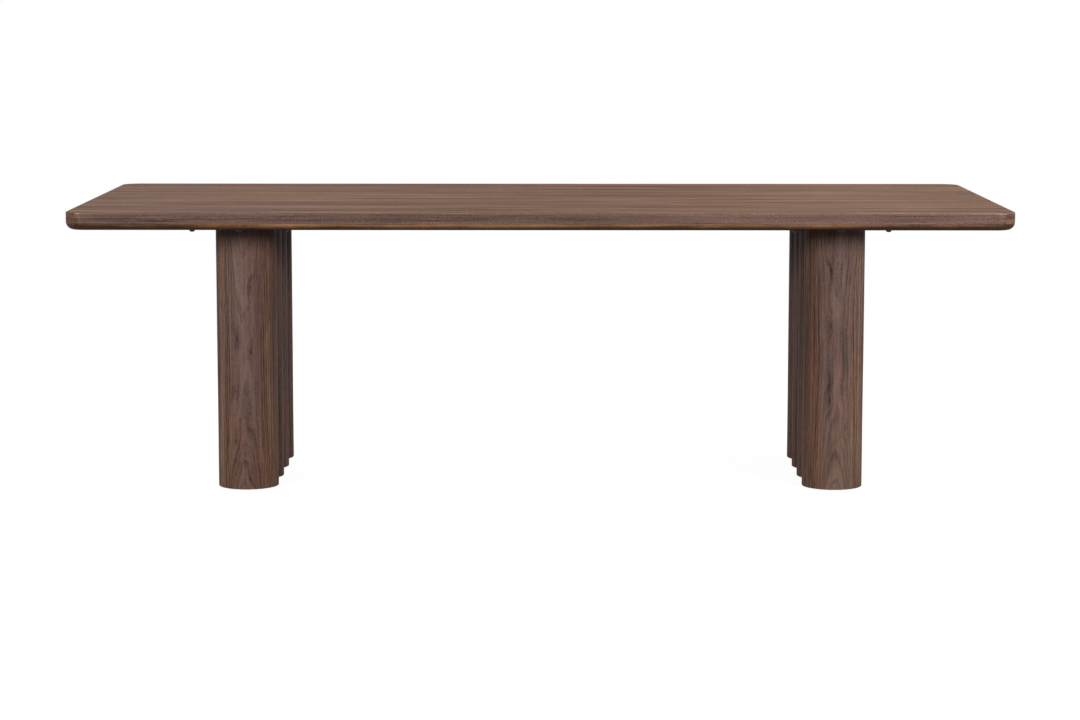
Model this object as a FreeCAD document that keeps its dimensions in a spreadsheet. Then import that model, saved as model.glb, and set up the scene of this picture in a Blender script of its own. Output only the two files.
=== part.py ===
import FreeCAD, Part
import math
import os
import Sketcher

# Dining table: a long walnut top on two legs, each leg a row of four joined round columns.
# Millimetres, +Z up. The origin is on the floor under the middle of the top, +X runs along the
# top and +Y runs away from the front edge.

SIZES = {
    # the whole table
    "table_length": 2400,
    "table_depth": 1100,
    "table_height": 750,
    # the top: a core panel, solid lippings round it and a veneer on each face
    "top_thickness": 45,
    "corner_radius": 50,
    "lower_round": 20,
    "upper_round": 3,
    "face_veneer": 0.9,
    "backing_veneer": 0.9,
    "end_lipping": 28,
    "long_lipping": 28,
    # the legs: columns in a row, planed flat where they meet
    "leg_end_distance": 428,
    "column_radius": 79,
    "column_wall": 17,
    "planed_depth": 1,
    "column_rim_chamfer": 1.2,
    "column_floor_gap": 4,
    # the loose spline glued into grooves along each planed joint
    "spline_thickness": 6,
    "spline_width": 22,
    "spline_end_margin": 60,
    "groove_clearance": 0.1,
    # the round blocks glued into both ends of every column
    "block_clearance": 0.2,
    "top_block_thickness": 40,
    "foot_block_thickness": 36,
    # the steel plate between a leg and the top
    "plate_side_overhang": 61,
    "plate_end_overhang": 117,
    "plate_thickness": 6,
    "plate_corner_radius": 12,
    # the bolts that hold a plate to the top, seen as dark heads under the front edge
    "bolt_radius": 4,
    "bolt_length": 30,
    "bolt_point_chamfer": 0.8,
    "bolt_pitch": 120,
    "bolt_edge_distance": 20,
    "bolt_head_radius": 7,
    "bolt_head_height": 4.4,
    "bolt_head_rim": 0.6,
    "bolt_crown_radius": 4.2,
    "bolt_crown_arc_radius": 5,
    "hex_socket_radius": 2.9,
    "hex_socket_depth": 2.6,
    "bolt_hole_clearance": 0.5,
    "flat_washer_radius": 8,
    "flat_washer_thickness": 1.6,
    "washer_bore_clearance": 0.2,
    "spring_washer_radius": 7.4,
    "spring_washer_thickness": 2,
    "spring_washer_slit": 1.2,
    # the threaded sleeves that take bolts, screws and levelling feet
    "sleeve_wall": 1.9,
    "sleeve_length": 25,
    "foot_sleeve_length": 20,
    "sleeve_hole_clearance": 0.1,
    "sleeve_hole_extra": 9,
    "thread_clearance": 0.1,
    # the countersunk screws that hold a plate to the blocks of its columns
    "block_screw_offset": 34,
    "block_screw_length": 35,
    "block_screw_head_radius": 7.8,
    "block_screw_sink": 0.3,
    "countersink_clearance": 0.1,
    # the levelling feet under the end columns: a pad that swivels on the knob of its screw
    "foot_pad_radius": 20,
    "foot_pad_shoulder_radius": 12,
    "foot_pad_rim_height": 3,
    "foot_pad_floor": 2.2,
    "foot_pad_lip": 2,
    "knob_radius": 5.5,
    "knob_height": 3.5,
    "knob_clearance": 0.15,
    "neck_radius": 3.6,
    "neck_clearance": 0.1,
    "collar_radius": 7.5,
    "collar_height": 5.4,
    "foot_seat_clearance": 0.3,
    "stem_length": 38,
    "stem_point_chamfer": 0.8,
    # how far a cutting shape runs past the wood it cuts
    "overrun": 5,
}

SIDES = (("left", -1), ("right", 1))
COLUMN_PLACES = ("front", "front_middle", "rear_middle", "rear")
END_PLACES = ("front", "rear")
BOLTS_PER_ROW = 3
SCREWS_PER_BLOCK = 2
COUNTERSINK_DEGREES = 90
FULL_TURN_DEGREES = 360
HEXAGON_SIDES = 6
JOINTS_PER_LEG = len(COLUMN_PLACES) - 1
# lengths closer than this share of the overrun are the same
CLOSENESS_SHARE = 1e-6

# What follows from the sizes, as expressions that the document keeps up to date.
HALF_LENGTH = "(Sizes.table_length / 2)"
HALF_DEPTH = "(Sizes.table_depth / 2)"
UNDERSIDE = "(Sizes.table_height - Sizes.top_thickness)"
CORE_BOTTOM = f"({UNDERSIDE} + Sizes.backing_veneer)"
CORE_TOP = "(Sizes.table_height - Sizes.face_veneer)"
CORE_THICKNESS = "(Sizes.top_thickness - Sizes.face_veneer - Sizes.backing_veneer)"
CORE_HALF_LENGTH = f"({HALF_LENGTH} - Sizes.end_lipping)"
CORE_HALF_DEPTH = f"({HALF_DEPTH} - Sizes.long_lipping)"
PLATE_BOTTOM = f"({UNDERSIDE} - Sizes.plate_thickness)"
COLUMN_HEIGHT = f"({PLATE_BOTTOM} - Sizes.column_floor_gap)"
COLUMN_PITCH = "(2 * (Sizes.column_radius - Sizes.planed_depth))"
COLUMN_ROW = f"({JOINTS_PER_LEG} * {COLUMN_PITCH})"
FIRST_COLUMN_Y = f"(-{COLUMN_ROW} / 2)"
LEG_DISTANCE = f"({HALF_LENGTH} - Sizes.leg_end_distance)"
BORE_RADIUS = "(Sizes.column_radius - Sizes.column_wall)"
BLOCK_RADIUS = f"({BORE_RADIUS} - Sizes.block_clearance)"
PLATE_HALF_WIDTH = "(Sizes.column_radius + Sizes.plate_side_overhang)"
PLATE_HALF_LENGTH = f"({COLUMN_ROW} / 2 + Sizes.column_radius + Sizes.plate_end_overhang)"
BOLT_ROW_Y = f"({PLATE_HALF_LENGTH} - Sizes.bolt_edge_distance)"
BOLT_SPREAD = f"({BOLTS_PER_ROW - 1} * Sizes.bolt_pitch)"
BOLT_SEAT = f"({PLATE_BOTTOM} - Sizes.flat_washer_thickness - Sizes.spring_washer_thickness)"
BOLT_HOLE_RADIUS = "(Sizes.bolt_radius + Sizes.bolt_hole_clearance)"
SLEEVE_BORE_RADIUS = "(Sizes.bolt_radius + Sizes.thread_clearance)"
SLEEVE_RADIUS = f"({SLEEVE_BORE_RADIUS} + Sizes.sleeve_wall)"
SLEEVE_HOLE_RADIUS = f"({SLEEVE_RADIUS} + Sizes.sleeve_hole_clearance)"
SLEEVE_HOLE_DEPTH = "(Sizes.sleeve_length + Sizes.sleeve_hole_extra)"
SPLINE_LENGTH = f"({COLUMN_HEIGHT} - 2 * Sizes.spline_end_margin)"
KNOB_BOTTOM = "(Sizes.foot_pad_floor + Sizes.knob_clearance)"
KNOB_TOP = f"({KNOB_BOTTOM} + Sizes.knob_height)"
SOCKET_TOP = f"({KNOB_TOP} + Sizes.knob_clearance)"
FOOT_PAD_TOP = f"({SOCKET_TOP} + Sizes.foot_pad_lip)"
COLLAR_BOTTOM = f"({FOOT_PAD_TOP} + Sizes.foot_seat_clearance)"
COLLAR_TOP = f"({COLLAR_BOTTOM} + Sizes.collar_height)"
FOOT_BLOCK_BOTTOM = f"({COLLAR_TOP} + Sizes.foot_seat_clearance)"
TOP_BLOCK_BOTTOM = f"({PLATE_BOTTOM} - Sizes.top_block_thickness)"

doc = FreeCAD.newDocument("DiningTable")
sheet = doc.addObject("Spreadsheet::Sheet", "Sizes")
for row, (size_name, size_value) in enumerate(SIZES.items(), start=1):
    sheet.set(f"A{row}", size_name)
    sheet.set(f"B{row}", str(size_value))
    sheet.setAlias(f"B{row}", size_name)
doc.recompute()

pieces = []


def value(expression):
    """What an expression comes to with the sizes as they are."""
    return float(sheet.evalExpression(expression))


def same(first, second):
    return abs(first - second) < CLOSENESS_SHARE * value("Sizes.overrun")


def leg_x(sign):
    return f"({sign} * {LEG_DISTANCE})"


def column_y(index):
    return f"({FIRST_COLUMN_Y} + {index} * {COLUMN_PITCH})"


def place(obj, x="0", y="0", z="0"):
    for axis, expression in (("x", x), ("y", y), ("z", z)):
        if expression != "0":
            obj.setExpression(f"Placement.Base.{axis}", expression)


def keep(obj):
    """Notes an object down as one of the table's own pieces."""
    obj.Label = obj.Name
    pieces.append(obj)
    return obj


# Sketches

def new_body(name):
    return doc.addObject("PartDesign::Body", name)


def origin_feature(body, role):
    return next(feature for feature in body.Origin.OriginFeatures if feature.Role == role)


def sketch_on(body, role, name, lift="0"):
    """An empty sketch on one of the body's own planes, or raised from it along its normal."""
    sketch = body.newObject("Sketcher::SketchObject", name)
    sketch.AttachmentSupport = [(origin_feature(body, role), "")]
    sketch.MapMode = "FlatFace"
    if lift != "0":
        sketch.setExpression("AttachmentOffset.Base.z", lift)
    return sketch


def fix_point(sketch, geometry, end, x, y, name):
    """Holds one point of a sketch at bound distances, or on the axis where a distance is zero."""
    for axis, kind, expression in ((-2, "DistanceX", x), (-1, "DistanceY", y)):
        if expression == "0":
            sketch.addConstraint(Sketcher.Constraint("PointOnObject", geometry, end, axis))
            continue
        distance = Sketcher.Constraint(kind, -1, 1, geometry, end, value(expression))
        index = sketch.addConstraint(distance)
        label = f"{name}_{kind[-1].lower()}"
        sketch.renameConstraint(index, label)
        sketch.setExpression(f"Constraints.{label}", expression)


def bind_radius(sketch, geometry, expression, name):
    index = sketch.addConstraint(Sketcher.Constraint("Radius", geometry, value(expression)))
    sketch.renameConstraint(index, f"{name}_radius")
    sketch.setExpression(f"Constraints.{name}_radius", expression)


def side_of(start, end, radius):
    """A straight side, or an arc that bulges to the right of the way from start to end."""
    if radius is None:
        return Part.LineSegment(start, end)
    chord = end - start
    left = FreeCAD.Vector(-chord.y, chord.x, 0).normalize()
    reach = math.sqrt(radius ** 2 - (chord.Length / 2) ** 2)
    middle = (start + end) / 2 + left * (reach - radius)
    return Part.Arc(start, middle, end)


def outline(sketch, points):
    """A closed outline, anticlockwise, through corners given as pairs of expressions.

    A corner with a third expression starts an arc of that radius, bulging outwards.
    """
    corners = [FreeCAD.Vector(value(point[0]), value(point[1]), 0) for point in points]
    sides = []
    for index, point in enumerate(points):
        radius = value(point[2]) if len(point) > 2 else None
        following = corners[(index + 1) % len(corners)]
        sides.append(sketch.addGeometry(side_of(corners[index], following, radius), False))
    for index, side in enumerate(sides):
        following = sides[(index + 1) % len(sides)]
        sketch.addConstraint(Sketcher.Constraint("Coincident", side, 2, following, 1))
    for index, point in enumerate(points):
        fix_point(sketch, sides[index], 1, point[0], point[1], f"corner_{index + 1}")
        if len(point) > 2:
            bind_radius(sketch, sides[index], point[2], f"arc_{index + 1}")
    return sketch


def rectangle(sketch, low_x, high_x, low_y, high_y):
    return outline(sketch, [(low_x, low_y), (high_x, low_y), (high_x, high_y), (low_x, high_y)])


def hexagon(sketch, radius):
    corners = []
    for index in range(HEXAGON_SIDES):
        angle = f"{index} * {FULL_TURN_DEGREES} / {HEXAGON_SIDES}"
        across = f"({radius} * cos({angle}))"
        along = "0" if index % (HEXAGON_SIDES // 2) == 0 else f"({radius} * sin({angle}))"
        corners.append((across, along))
    return outline(sketch, corners)


def circle(sketch, radius, x="0", y="0", name="circle"):
    centre = FreeCAD.Vector(value(x), value(y), 0)
    shape = Part.Circle(centre, FreeCAD.Vector(0, 0, 1), value(radius))
    geometry = sketch.addGeometry(shape, False)
    fix_point(sketch, geometry, 3, x, y, name)
    bind_radius(sketch, geometry, radius, name)
    return sketch


# Features

def pad(body, sketch, length, name):
    feature = body.newObject("PartDesign::Pad", name)
    feature.Profile = sketch
    feature.setExpression("Length", length)
    doc.recompute()
    return feature


def pocket(body, sketch, depth, name, against_normal=True):
    """Cuts a sketch into the body, against the sketch's normal or along it."""
    before = body.Shape.Volume
    feature = body.newObject("PartDesign::Pocket", name)
    feature.Profile = sketch
    feature.Reversed = not against_normal
    feature.setExpression("Length", depth)
    doc.recompute()
    if not body.Shape.Volume < before:
        raise RuntimeError(f"{name} cuts nothing away")
    return feature


def turned(name, points, role="XZ_Plane"):
    """A body turned about the upright axis of its sketch, from half of its section."""
    body = new_body(name)
    section = outline(sketch_on(body, role, f"{name}_section"), points)
    feature = body.newObject("PartDesign::Revolution", f"{name}_turning")
    feature.Profile = section
    feature.ReferenceAxis = (section, ["V_Axis"])
    feature.Angle = FULL_TURN_DEGREES
    doc.recompute()
    return body, feature


def edges_where(feature, test):
    """Names of a feature's edges whose middle point passes a test."""
    names = []
    for number, edge in enumerate(feature.Shape.Edges, start=1):
        if test(edge.valueAt((edge.FirstParameter + edge.LastParameter) / 2)):
            names.append(f"Edge{number}")
    return names


def soften(body, kind, feature, test, amount, name):
    """Fillets or chamfers the edges of a feature that pass a test."""
    result = body.newObject(f"PartDesign::{kind}", name)
    result.Base = (feature, edges_where(feature, test))
    result.setExpression("Radius" if kind == "Fillet" else "Size", amount)
    doc.recompute()
    return result


def repeat(body, features, steps, name):
    """Repeats features in rows along the body's axes: each step is (axis, whole length, count)."""
    grid = body.newObject("PartDesign::MultiTransform", name)
    grid.Originals = features
    rows = []
    for number, (axis, length, count) in enumerate(steps, start=1):
        row_pattern = doc.addObject("PartDesign::LinearPattern", f"{name}_row_{number}")
        body.addObject(row_pattern)
        row_pattern.Direction = (origin_feature(body, f"{axis}_Axis"), [""])
        row_pattern.setExpression("Length", length)
        row_pattern.Occurrences = count
        rows.append(row_pattern)
    grid.Transformations = rows
    body.Tip = grid
    doc.recompute()
    return grid


def box(name, low, high):
    """A plain block between two corners given as expressions."""
    block = doc.addObject("Part::Box", name)
    for prop, start, end in zip(("Length", "Width", "Height"), low, high):
        block.setExpression(prop, f"{end} - ({start})")
    place(block, *low)
    return block


def boolean(kind, name, base, tool):
    result = doc.addObject(f"Part::{kind}", name)
    result.Base = base
    result.Tool = tool
    doc.recompute()
    return result


# The top

def top_blank():
    """The outside of the whole top: rounded corners, a deep round below and a fine one above."""
    body = new_body("top_blank")
    sketch = sketch_on(body, "XY_Plane", "top_outline")
    rectangle(sketch, f"-{HALF_LENGTH}", HALF_LENGTH, f"-{HALF_DEPTH}", HALF_DEPTH)
    slab = pad(body, sketch, "Sizes.top_thickness", "slab")
    thickness = value("Sizes.top_thickness")
    corners = soften(body, "Fillet", slab, lambda mid: same(mid.z, thickness / 2),
                     "Sizes.corner_radius", "corners")
    lower = soften(body, "Fillet", corners, lambda mid: same(mid.z, 0),
                   "Sizes.lower_round", "lower_edge")
    soften(body, "Fillet", lower, lambda mid: same(mid.z, thickness),
           "Sizes.upper_round", "upper_edge")
    place(body, z=UNDERSIDE)
    return body


def bolt_pattern():
    """Every place in the top that takes a bolt, as rows from the first one of the left leg."""
    return [
        ("X", BOLT_SPREAD, BOLTS_PER_ROW),
        ("Y", f"2 * {BOLT_ROW_Y}", 2),
        ("X", f"2 * {LEG_DISTANCE}", len(SIDES)),
    ]


def first_bolt_x(sign):
    return f"({leg_x(sign)} - {BOLT_SPREAD} / 2)"


def drilled_panel(name, radius, bottom, thickness, depth):
    """A flat panel as large as the blank, drilled from below at every bolt."""
    body = new_body(name)
    sketch = sketch_on(body, "XY_Plane", f"{name}_outline")
    rectangle(sketch, f"-{HALF_LENGTH}", HALF_LENGTH, f"-{HALF_DEPTH}", HALF_DEPTH)
    pad(body, sketch, thickness, f"{name}_panel")
    hole = sketch_on(body, "XY_Plane", f"{name}_hole")
    circle(hole, radius, first_bolt_x(-1), f"(-{BOLT_ROW_Y})")
    bored = pocket(body, hole, depth, f"{name}_bore", against_normal=False)
    repeat(body, [bored], bolt_pattern(), f"{name}_bores")
    place(body, z=bottom)
    return body


def cut_from_blank(name, blank, low, high, stock=None):
    """The share of the blank between two corners, out of drilled stock where it has holes."""
    share = boolean("Common", f"{name}_share" if stock else name, blank, box(f"{name}_box", low, high))
    if stock:
        share = boolean("Common", name, share, stock)
    return keep(share)


def make_top():
    blank = top_blank()
    outside = [f"(-{HALF_LENGTH} - Sizes.overrun)", f"(-{HALF_DEPTH} - Sizes.overrun)"]
    far_side = [f"({HALF_LENGTH} + Sizes.overrun)", f"({HALF_DEPTH} + Sizes.overrun)"]
    backing = drilled_panel("drilled_backing", SLEEVE_HOLE_RADIUS, UNDERSIDE,
                            "Sizes.backing_veneer", "Sizes.backing_veneer")
    board = drilled_panel("drilled_board", SLEEVE_HOLE_RADIUS, CORE_BOTTOM, CORE_THICKNESS,
                          f"{SLEEVE_HOLE_DEPTH} - Sizes.backing_veneer")
    cut_from_blank("tabletop_core", blank,
                   [f"(-{CORE_HALF_LENGTH})", f"(-{CORE_HALF_DEPTH})", CORE_BOTTOM],
                   [CORE_HALF_LENGTH, CORE_HALF_DEPTH, CORE_TOP], board)
    cut_from_blank("tabletop_underside_veneer", blank, outside + [UNDERSIDE],
                   far_side + [CORE_BOTTOM], backing)
    cut_from_blank("tabletop_face_veneer", blank, outside + [CORE_TOP],
                   far_side + ["Sizes.table_height"])
    cut_from_blank("left_end_lipping", blank, outside + [CORE_BOTTOM],
                   [f"(-{CORE_HALF_LENGTH})", far_side[1], CORE_TOP])
    cut_from_blank("right_end_lipping", blank, [CORE_HALF_LENGTH, outside[1], CORE_BOTTOM],
                   far_side + [CORE_TOP])
    cut_from_blank("front_edge_lipping", blank,
                   [f"(-{CORE_HALF_LENGTH})", outside[1], CORE_BOTTOM],
                   [CORE_HALF_LENGTH, f"(-{CORE_HALF_DEPTH})", CORE_TOP])
    cut_from_blank("rear_edge_lipping", blank,
                   [f"(-{CORE_HALF_LENGTH})", CORE_HALF_DEPTH, CORE_BOTTOM],
                   [CORE_HALF_LENGTH, far_side[1], CORE_TOP])


# Fasteners

def ring_section(inner, outer, height):
    return [(inner, "0"), (outer, "0"), (outer, height), (inner, height)]


def sleeve_section(length):
    return ring_section(SLEEVE_BORE_RADIUS, SLEEVE_RADIUS, length)


def make_tabletop_inserts():
    body, sleeve = turned("tabletop_inserts", sleeve_section("Sizes.sleeve_length"))
    repeat(body, [sleeve], bolt_pattern(), "tabletop_inserts_grid")
    place(body, first_bolt_x(-1), f"(-{BOLT_ROW_Y})", UNDERSIDE)
    keep(body)


def plate_bolt_grid():
    return bolt_pattern()[:2]


def make_plate_bolts(side, sign):
    """Button head bolts, heads down: the shank passes the washers and the plate into a sleeve."""
    name = f"{side}_plate_bolts"
    head_side = "(-Sizes.bolt_head_rim)"
    body, bolt = turned(name, [
        ("0", "(-Sizes.bolt_head_height)"),
        ("Sizes.bolt_crown_radius", "(-Sizes.bolt_head_height)", "Sizes.bolt_crown_arc_radius"),
        ("Sizes.bolt_head_radius", head_side),
        ("Sizes.bolt_head_radius", "0"),
        ("Sizes.bolt_radius", "0"),
        ("Sizes.bolt_radius", "(Sizes.bolt_length - Sizes.bolt_point_chamfer)"),
        ("(Sizes.bolt_radius - Sizes.bolt_point_chamfer)", "Sizes.bolt_length"),
        ("0", "Sizes.bolt_length"),
    ])
    socket = sketch_on(body, "XY_Plane", f"{name}_socket", "(-Sizes.bolt_head_height)")
    hexagon(socket, "Sizes.hex_socket_radius")
    cut = pocket(body, socket, "Sizes.hex_socket_depth", f"{name}_socket_cut",
                 against_normal=False)
    repeat(body, [bolt, cut], plate_bolt_grid(), f"{name}_grid")
    place(body, first_bolt_x(sign), f"(-{BOLT_ROW_Y})", BOLT_SEAT)
    keep(body)


def make_washers(side, sign):
    bore = "(Sizes.bolt_radius + Sizes.washer_bore_clearance)"
    flat_name = f"{side}_flat_washers"
    flat, ring = turned(flat_name, ring_section(
        bore, "Sizes.flat_washer_radius", "Sizes.flat_washer_thickness"))
    repeat(flat, [ring], plate_bolt_grid(), f"{flat_name}_grid")
    place(flat, first_bolt_x(sign), f"(-{BOLT_ROW_Y})",
          f"({PLATE_BOTTOM} - Sizes.flat_washer_thickness)")
    keep(flat)
    spring_name = f"{side}_spring_washers"
    spring, coil = turned(spring_name, ring_section(
        bore, "Sizes.spring_washer_radius", "Sizes.spring_washer_thickness"))
    slit = sketch_on(spring, "XY_Plane", f"{spring_name}_slit")
    rectangle(slit, "0", "(Sizes.spring_washer_radius + Sizes.overrun)",
              "(-Sizes.spring_washer_slit / 2)", "(Sizes.spring_washer_slit / 2)")
    cut = pocket(spring, slit, "Sizes.spring_washer_thickness", f"{spring_name}_slit_cut",
                 against_normal=False)
    repeat(spring, [coil, cut], plate_bolt_grid(), f"{spring_name}_grid")
    place(spring, first_bolt_x(sign), f"(-{BOLT_ROW_Y})", BOLT_SEAT)
    keep(spring)


def block_screw_grid():
    return [
        ("X", "2 * Sizes.block_screw_offset", SCREWS_PER_BLOCK),
        ("Y", COLUMN_ROW, len(COLUMN_PLACES)),
    ]


def first_screw_x(sign):
    return f"({leg_x(sign)} - Sizes.block_screw_offset)"


def make_block_screws(side, sign):
    """Countersunk screws, heads up and just below the face that the top lies on."""
    name = f"{side}_block_screws"
    head_height = "(Sizes.block_screw_head_radius - Sizes.bolt_radius)"
    body, screw = turned(name, [
        ("0", "(-Sizes.block_screw_length)"),
        ("(Sizes.bolt_radius - Sizes.bolt_point_chamfer)", "(-Sizes.block_screw_length)"),
        ("Sizes.bolt_radius", "(Sizes.bolt_point_chamfer - Sizes.block_screw_length)"),
        ("Sizes.bolt_radius", f"(-{head_height})"),
        ("Sizes.block_screw_head_radius", "0"),
        ("0", "0"),
    ])
    repeat(body, [screw], block_screw_grid(), f"{name}_grid")
    place(body, first_screw_x(sign), FIRST_COLUMN_Y, f"({UNDERSIDE} - Sizes.block_screw_sink)")
    keep(body)


def make_block_inserts(side, sign):
    name = f"{side}_block_inserts"
    body, sleeve = turned(name, sleeve_section("Sizes.sleeve_length"))
    repeat(body, [sleeve], block_screw_grid(), f"{name}_grid")
    place(body, first_screw_x(sign), FIRST_COLUMN_Y, f"({PLATE_BOTTOM} - Sizes.sleeve_length)")
    keep(body)


def make_plate(side, sign):
    """The steel plate, with clear holes for the bolts and countersunk ones for the screws."""
    name = f"{side}_mounting_plate"
    body = new_body(name)
    sketch = sketch_on(body, "XY_Plane", f"{name}_outline")
    rectangle(sketch, f"(-{PLATE_HALF_WIDTH})", PLATE_HALF_WIDTH,
              f"(-{PLATE_HALF_LENGTH})", PLATE_HALF_LENGTH)
    sheet_metal = pad(body, sketch, "Sizes.plate_thickness", f"{name}_sheet")
    half_thickness = value("Sizes.plate_thickness") / 2
    soften(body, "Fillet", sheet_metal, lambda mid: same(mid.z, half_thickness),
           "Sizes.plate_corner_radius", f"{name}_corners")
    clear = sketch_on(body, "XY_Plane", f"{name}_bolt_hole")
    circle(clear, BOLT_HOLE_RADIUS, f"(-{BOLT_SPREAD} / 2)", f"(-{BOLT_ROW_Y})")
    bored = pocket(body, clear, "Sizes.plate_thickness", f"{name}_bolt_bore",
                   against_normal=False)
    repeat(body, [bored], plate_bolt_grid(), f"{name}_bolt_bores")
    start = sketch_on(body, "XY_Plane", f"{name}_screw_hole", "Sizes.plate_thickness")
    circle(start, BOLT_HOLE_RADIUS, "(-Sizes.block_screw_offset)", FIRST_COLUMN_Y)
    hole = body.newObject("PartDesign::Hole", f"{name}_countersink")
    hole.Profile = start
    doc.recompute()
    hole.ThreadType = "None"
    hole.DepthType = "ThroughAll"
    hole.HoleCutType = "Countersink"
    hole.HoleCutCustomValues = True
    hole.HoleCutCountersinkAngle = COUNTERSINK_DEGREES
    hole.setExpression("Diameter", f"2 * {BOLT_HOLE_RADIUS}")
    hole.setExpression("HoleCutDiameter", "2 * (Sizes.block_screw_head_radius"
                       " + Sizes.block_screw_sink + Sizes.countersink_clearance)")
    doc.recompute()
    repeat(body, [hole], block_screw_grid(), f"{name}_countersinks")
    place(body, leg_x(sign), z=PLATE_BOTTOM)
    keep(body)


# The columns of a leg

def plane_flat(body, name, direction):
    """Planes one side of a column flat, all the way up, where the next column is glued on."""
    sketch = sketch_on(body, "XY_Plane", f"{name}_flat_outline")
    face = f"({direction} * {COLUMN_PITCH} / 2)"
    past = f"({direction} * (Sizes.column_radius + Sizes.overrun))"
    low, high = (face, past) if direction > 0 else (past, face)
    rectangle(sketch, "(-Sizes.column_radius)", "Sizes.column_radius", low, high)
    pocket(body, sketch, COLUMN_HEIGHT, f"{name}_flat", against_normal=False)


def groove(body, name, direction):
    """A stopped groove up the planed face, for one half of a spline."""
    half_width = "(Sizes.spline_thickness / 2 + Sizes.groove_clearance)"
    sketch = sketch_on(body, "XZ_Plane", f"{name}_groove_outline",
                       f"(-{direction} * {COLUMN_PITCH} / 2)")
    rectangle(sketch, f"(-{half_width})", half_width,
              "(Sizes.spline_end_margin - Sizes.groove_clearance)",
              f"({COLUMN_HEIGHT} - Sizes.spline_end_margin + Sizes.groove_clearance)")
    pocket(body, sketch, "(Sizes.spline_width / 2 + Sizes.groove_clearance)",
           f"{name}_groove", against_normal=direction < 0)


def make_column(side, sign, index):
    name = f"{side}_{COLUMN_PLACES[index]}_column"
    body = new_body(name)
    tube = pad(body, circle(sketch_on(body, "XY_Plane", f"{name}_outline"), "Sizes.column_radius"),
               COLUMN_HEIGHT, f"{name}_round")
    soften(body, "Chamfer", tube, lambda mid: same(mid.z, 0),
           "Sizes.column_rim_chamfer", f"{name}_foot_rim")
    bore = circle(sketch_on(body, "XY_Plane", f"{name}_bore_outline"), BORE_RADIUS)
    pocket(body, bore, COLUMN_HEIGHT, f"{name}_bore", against_normal=False)
    for label, direction, joined in (
            ("front", -1, index > 0),
            ("rear", 1, index < JOINTS_PER_LEG)):
        if joined:
            plane_flat(body, f"{name}_{label}", direction)
            groove(body, f"{name}_{label}", direction)
    place(body, leg_x(sign), column_y(index), "Sizes.column_floor_gap")
    keep(body)


def make_joint_splines(side, sign):
    """Plywood strips that lie across the planed joints, one up each joint."""
    name = f"{side}_joint_splines"
    body = new_body(name)
    sketch = sketch_on(body, "XY_Plane", f"{name}_outline")
    rectangle(sketch, "(-Sizes.spline_thickness / 2)", "(Sizes.spline_thickness / 2)",
              "(-Sizes.spline_width / 2)", "(Sizes.spline_width / 2)")
    strip = pad(body, sketch, SPLINE_LENGTH, f"{name}_strip")
    repeat(body, [strip], [("Y", f"({JOINTS_PER_LEG - 1} * {COLUMN_PITCH})", JOINTS_PER_LEG)],
           f"{name}_row")
    place(body, leg_x(sign), f"({FIRST_COLUMN_Y} + {COLUMN_PITCH} / 2)",
          "(Sizes.column_floor_gap + Sizes.spline_end_margin)")
    keep(body)


def round_block(name, thickness):
    """A disc that fills a column's bore."""
    body = new_body(name)
    pad(body, circle(sketch_on(body, "XY_Plane", f"{name}_outline"), BLOCK_RADIUS),
        thickness, f"{name}_disc")
    return body


def make_top_block(side, sign, index):
    """The upper block takes two sleeves from above, for the screws through the plate."""
    name = f"{side}_{COLUMN_PLACES[index]}_top_block"
    body = round_block(name, "Sizes.top_block_thickness")
    hole = sketch_on(body, "XY_Plane", f"{name}_hole", "Sizes.top_block_thickness")
    circle(hole, SLEEVE_HOLE_RADIUS, "(-Sizes.block_screw_offset)")
    bored = pocket(body, hole, SLEEVE_HOLE_DEPTH, f"{name}_bore")
    repeat(body, [bored], block_screw_grid()[:1], f"{name}_bores")
    place(body, leg_x(sign), column_y(index), TOP_BLOCK_BOTTOM)
    keep(body)


def make_foot_block(side, sign, index):
    """The lower block, bored right through where the column has a levelling foot."""
    name = f"{side}_{COLUMN_PLACES[index]}_foot_block"
    body = round_block(name, "Sizes.foot_block_thickness")
    if COLUMN_PLACES[index] in END_PLACES:
        hole = circle(sketch_on(body, "XY_Plane", f"{name}_hole"), SLEEVE_HOLE_RADIUS)
        pocket(body, hole, "Sizes.foot_block_thickness", f"{name}_bore", against_normal=False)
    place(body, leg_x(sign), column_y(index), FOOT_BLOCK_BOTTOM)
    keep(body)


# The levelling feet

def make_foot_inserts():
    body, sleeve = turned("foot_inserts", sleeve_section("Sizes.foot_sleeve_length"))
    repeat(body, [sleeve], [
        ("X", f"2 * {LEG_DISTANCE}", len(SIDES)),
        ("Y", COLUMN_ROW, len(END_PLACES)),
    ], "foot_inserts_grid")
    place(body, leg_x(-1), FIRST_COLUMN_Y, FOOT_BLOCK_BOTTOM)
    keep(body)


def make_foot_pad(side, sign, index):
    """A round pad whose socket holds the knob of the screw under a lip."""
    name = f"{side}_{COLUMN_PLACES[index]}_foot_pad"
    socket_radius = "(Sizes.knob_radius + Sizes.knob_clearance)"
    mouth_radius = "(Sizes.neck_radius + Sizes.neck_clearance)"
    body, _ = turned(name, [
        ("0", "0"),
        ("Sizes.foot_pad_radius", "0"),
        ("Sizes.foot_pad_radius", "Sizes.foot_pad_rim_height"),
        ("Sizes.foot_pad_shoulder_radius", FOOT_PAD_TOP),
        (mouth_radius, FOOT_PAD_TOP),
        (mouth_radius, SOCKET_TOP),
        (socket_radius, SOCKET_TOP),
        (socket_radius, "Sizes.foot_pad_floor"),
        ("0", "Sizes.foot_pad_floor"),
    ])
    place(body, leg_x(sign), column_y(index))
    keep(body)


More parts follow.
